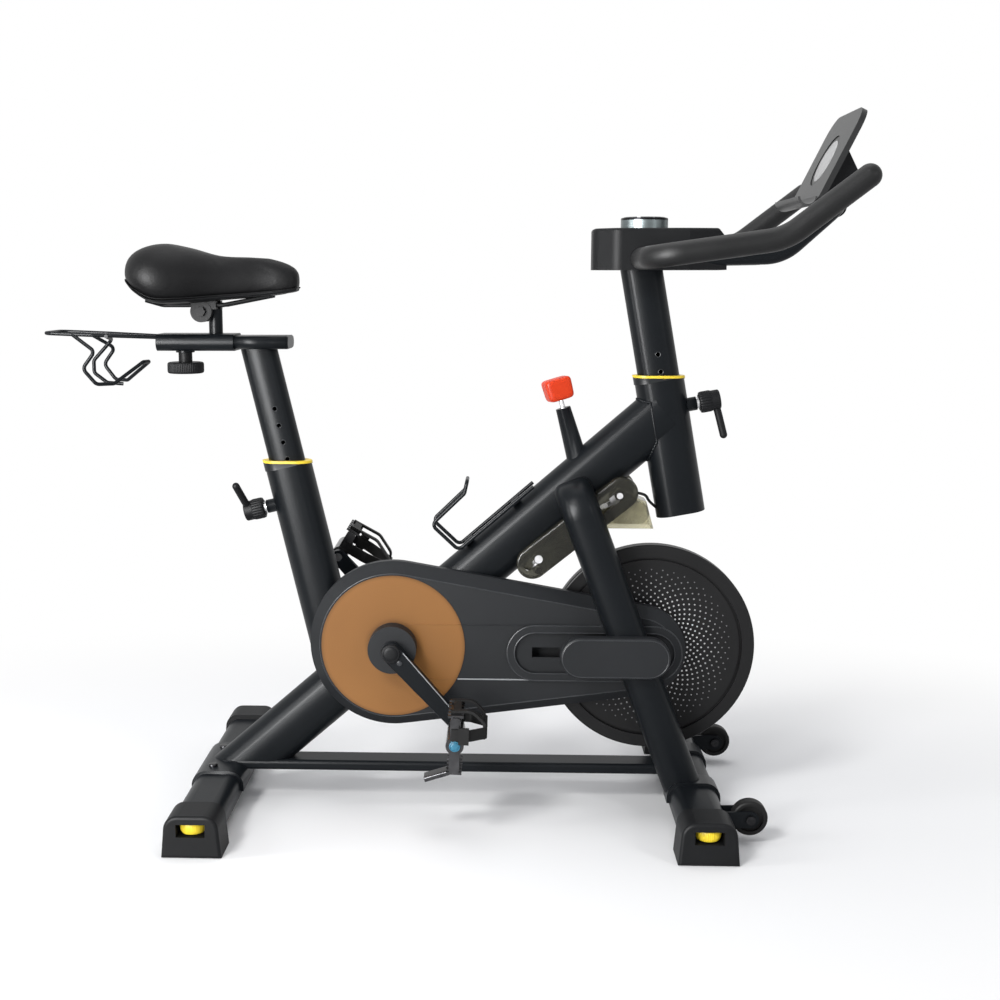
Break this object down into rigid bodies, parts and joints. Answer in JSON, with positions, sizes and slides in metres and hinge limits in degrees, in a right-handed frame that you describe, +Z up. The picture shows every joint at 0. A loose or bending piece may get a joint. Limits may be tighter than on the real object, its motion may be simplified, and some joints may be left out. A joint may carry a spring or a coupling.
{
  "type": "exercise bike",
  "caption": "Indoor exercise bike with flywheel, belt guard, magnetic brake knob, height-adjustable saddle and handlebar, tablet tray and levelling feet.",
  "frame": {"origin": "middle of the bounding box on the floor", "axes": "+X forward in riding direction, +Y to the rider's left, +Z up"},
  "size_m": [1.2753, 0.55, 1.1167],
  "materials": {
    "frame_paint": "satin",
    "black_plastic": "satin",
    "yellow_plastic": "satin",
    "copper_brown": "satin",
    "red_plastic": "satin",
    "smoky_plastic": "glossy",
    "flywheel_paint": "satin",
    "bright_steel": "brushed",
    "silver_ring": "satin",
    "dark_glass": "glossy",
    "foam": "matte",
    "saddle_leather": "matte",
    "black_rubber": "matte",
    "tray_plastic": "satin"
  },
  "bodies": {
    "frame": {"main_tube": "frame_paint", "seat_tube": "frame_paint", "head_tube": "frame_paint", "fork_legs": "frame_paint", "base_rail": "frame_paint", "rear_stabilizer": "frame_paint", "front_stabilizer": "frame_paint", "end_caps": "black_plastic", "frame_bolts": "bright_steel", "belt_guard_outer": "black_plastic", "belt_guard_inner": "black_plastic", "guard_disc": "copper_brown", "axle_badge": "black_plastic", "flywheel_axle": "bright_steel", "bearings": "bright_steel", "drive_belt": "black_rubber", "brake_covers": "smoky_plastic", "sensor_lead": "black_rubber", "post_collars": "yellow_plastic", "bottle_cage": "frame_paint"},
    "crank": {"crank_axle": "bright_steel", "drive_pulley": "black_plastic", "crank_arms": "frame_paint", "crank_hardware": "bright_steel"},
    "right_pedal": {"right_pedal_body": "black_plastic", "right_pedal_strap": "black_rubber"},
    "left_pedal": {"left_pedal_body": "black_plastic", "left_pedal_strap": "black_rubber"},
    "flywheel_set": {"flywheel": "flywheel_paint", "flywheel_hub": "bright_steel"},
    "seat": {"seat_post": "frame_paint"},
    "seat_slider": {"seat_sleeve": "frame_paint", "rear_rack": "frame_paint"},
    "saddle": {"saddle_clamp": "black_plastic", "saddle_rails": "bright_steel", "saddle_pan": "black_plastic", "saddle_cushion": "saddle_leather"},
    "slider_knob": {"slider_knob": "black_plastic"},
    "seat_pin": {"seat_lock_pin": "bright_steel"},
    "seat_lever": {"seat_lock_lever": "black_plastic"},
    "handlebar": {"handlebar_post": "frame_paint", "handlebar_tube": "frame_paint", "handlebar_grips": "foam", "head_box": "black_plastic", "display_ring": "silver_ring", "display_glass": "dark_glass"},
    "post_pin": {"post_lock_pin": "bright_steel"},
    "post_lever": {"post_lock_lever": "black_plastic"},
    "tray": {"tray_board": "tray_plastic", "tray_support": "black_plastic"},
    "tension": {"tension_rod": "bright_steel"},
    "knob": {"tension_knob": "red_plastic"},
    "magnet_brake": {"magnet_arm": "bright_steel", "magnet_shroud": "smoky_plastic"},
    "roller_right_body": {"roller_right": "black_rubber"},
    "roller_left_body": {"roller_left": "black_rubber"},
    "level_rear_right": {"level_wheel_rear_right": "yellow_plastic"},
    "level_rear_left": {"level_wheel_rear_left": "yellow_plastic"},
    "level_front_right": {"level_wheel_front_right": "yellow_plastic"},
    "level_front_left": {"level_wheel_front_left": "yellow_plastic"}
  },
  "joints": [
    {"name": "crank_spin", "type": "hinge", "parent": "frame", "child": "crank", "pos_m": [-0.079, 0, 0.274], "axis": [0, 1, 0], "continuous": true},
    {"name": "flywheel_spin", "type": "hinge", "parent": "frame", "child": "flywheel_set", "pos_m": [0.341, 0, 0.264], "axis": [0, 1, 0], "continuous": true},
    {"name": "right_pedal_spin", "type": "hinge", "parent": "crank", "child": "right_pedal", "pos_m": [0.02605, -0.159, 0.15733], "axis": [0, 1, 0], "continuous": true},
    {"name": "left_pedal_spin", "type": "hinge", "parent": "crank", "child": "left_pedal", "pos_m": [-0.18405, 0.159, 0.39067], "axis": [0, 1, 0], "continuous": true},
    {"name": "seat_height", "type": "slide", "parent": "frame", "child": "seat", "axis": [-0.2284, 0, 0.9736], "range_m": [-0.1, 0.06]},
    {"name": "seat_fore_aft", "type": "slide", "parent": "seat", "child": "seat_slider", "axis": [1, 0, 0], "range_m": [-0.045, 0.003]},
    {"name": "saddle_tilt", "type": "hinge", "parent": "seat_slider", "child": "saddle", "pos_m": [-0.384, 0, 0.811], "axis": [0, 1, 0], "range_deg": [-8, 8]},
    {"name": "slider_knob_turn", "type": "hinge", "parent": "seat_slider", "child": "slider_knob", "pos_m": [-0.417, 0, 0.72], "axis": [0, 0, 1], "range_deg": [-180, 180]},
    {"name": "seat_pin_pull", "type": "slide", "parent": "frame", "child": "seat_pin", "axis": [-0.9736, 0, -0.2284], "range_m": [0, 0.008], "stiffness_N_per_m": 1500},
    {"name": "seat_lever_turn", "type": "hinge", "parent": "seat_pin", "child": "seat_lever", "pos_m": [-0.27605, 0, 0.49585], "axis": [-0.9736, 0, -0.2284], "range_deg": [-90, 90]},
    {"name": "handlebar_height", "type": "slide", "parent": "frame", "child": "handlebar", "axis": [-0.1814, 0, 0.9834], "range_m": [-0.05, 0.05]},
    {"name": "post_pin_pull", "type": "slide", "parent": "frame", "child": "post_pin", "axis": [0.9834, 0, 0.1814], "range_m": [0, 0.008], "stiffness_N_per_m": 1500},
    {"name": "post_lever_turn", "type": "hinge", "parent": "post_pin", "child": "post_lever", "pos_m": [0.39457, 0, 0.66294], "axis": [0.9834, 0, 0.1814], "range_deg": [-90, 90]},
    {"name": "tray_tilt", "type": "hinge", "parent": "handlebar", "child": "tray", "pos_m": [0.612, 0, 0.974], "axis": [0, 1, 0], "range_deg": [-10, 15]},
    {"name": "brake_push", "type": "slide", "parent": "frame", "child": "tension", "axis": [0.2756, 0, -0.9613], "range_m": [0, 0.012], "stiffness_N_per_m": 3000},
    {"name": "tension_knob_turn", "type": "hinge", "parent": "tension", "child": "knob", "pos_m": [0.194, 0, 0.657], "axis": [0.2756, 0, -0.9613], "range_deg": [-180, 180]},
    {"name": "magnet_arm_swing", "type": "hinge", "parent": "frame", "child": "magnet_brake", "pos_m": [0.15607, 0, 0.39607], "axis": [0, 1, 0], "range_deg": [0, 6]},
    {"name": "roller_right_spin", "type": "hinge", "parent": "frame", "child": "roller_right_body", "pos_m": [0.481, -0.179, 0.041], "axis": [0, 1, 0], "continuous": true},
    {"name": "roller_left_spin", "type": "hinge", "parent": "frame", "child": "roller_left_body", "pos_m": [0.481, 0.179, 0.041], "axis": [0, 1, 0], "continuous": true},
    {"name": "level_rear_right_turn", "type": "hinge", "parent": "frame", "child": "level_rear_right", "pos_m": [-0.369, -0.2535, 0.04], "axis": [0, 0, 1], "range_deg": [-180, 180]},
    {"name": "level_rear_left_turn", "type": "hinge", "parent": "frame", "child": "level_rear_left", "pos_m": [-0.369, 0.2535, 0.04], "axis": [0, 0, 1], "range_deg": [-180, 180]},
    {"name": "level_front_right_turn", "type": "hinge", "parent": "frame", "child": "level_front_right", "pos_m": [0.407, -0.2535, 0.04], "axis": [0, 0, 1], "range_deg": [-180, 180]},
    {"name": "level_front_left_turn", "type": "hinge", "parent": "frame", "child": "level_front_left", "pos_m": [0.407, 0.2535, 0.04], "axis": [0, 0, 1], "range_deg": [-180, 180]}
  ],
  "couplings": [
    {"joint": "flywheel_spin", "follows": "crank_spin", "ratio": 3.8519},
    {"joint": "magnet_arm_swing", "follows": "brake_push", "rad_per_m": 8}
  ]
}
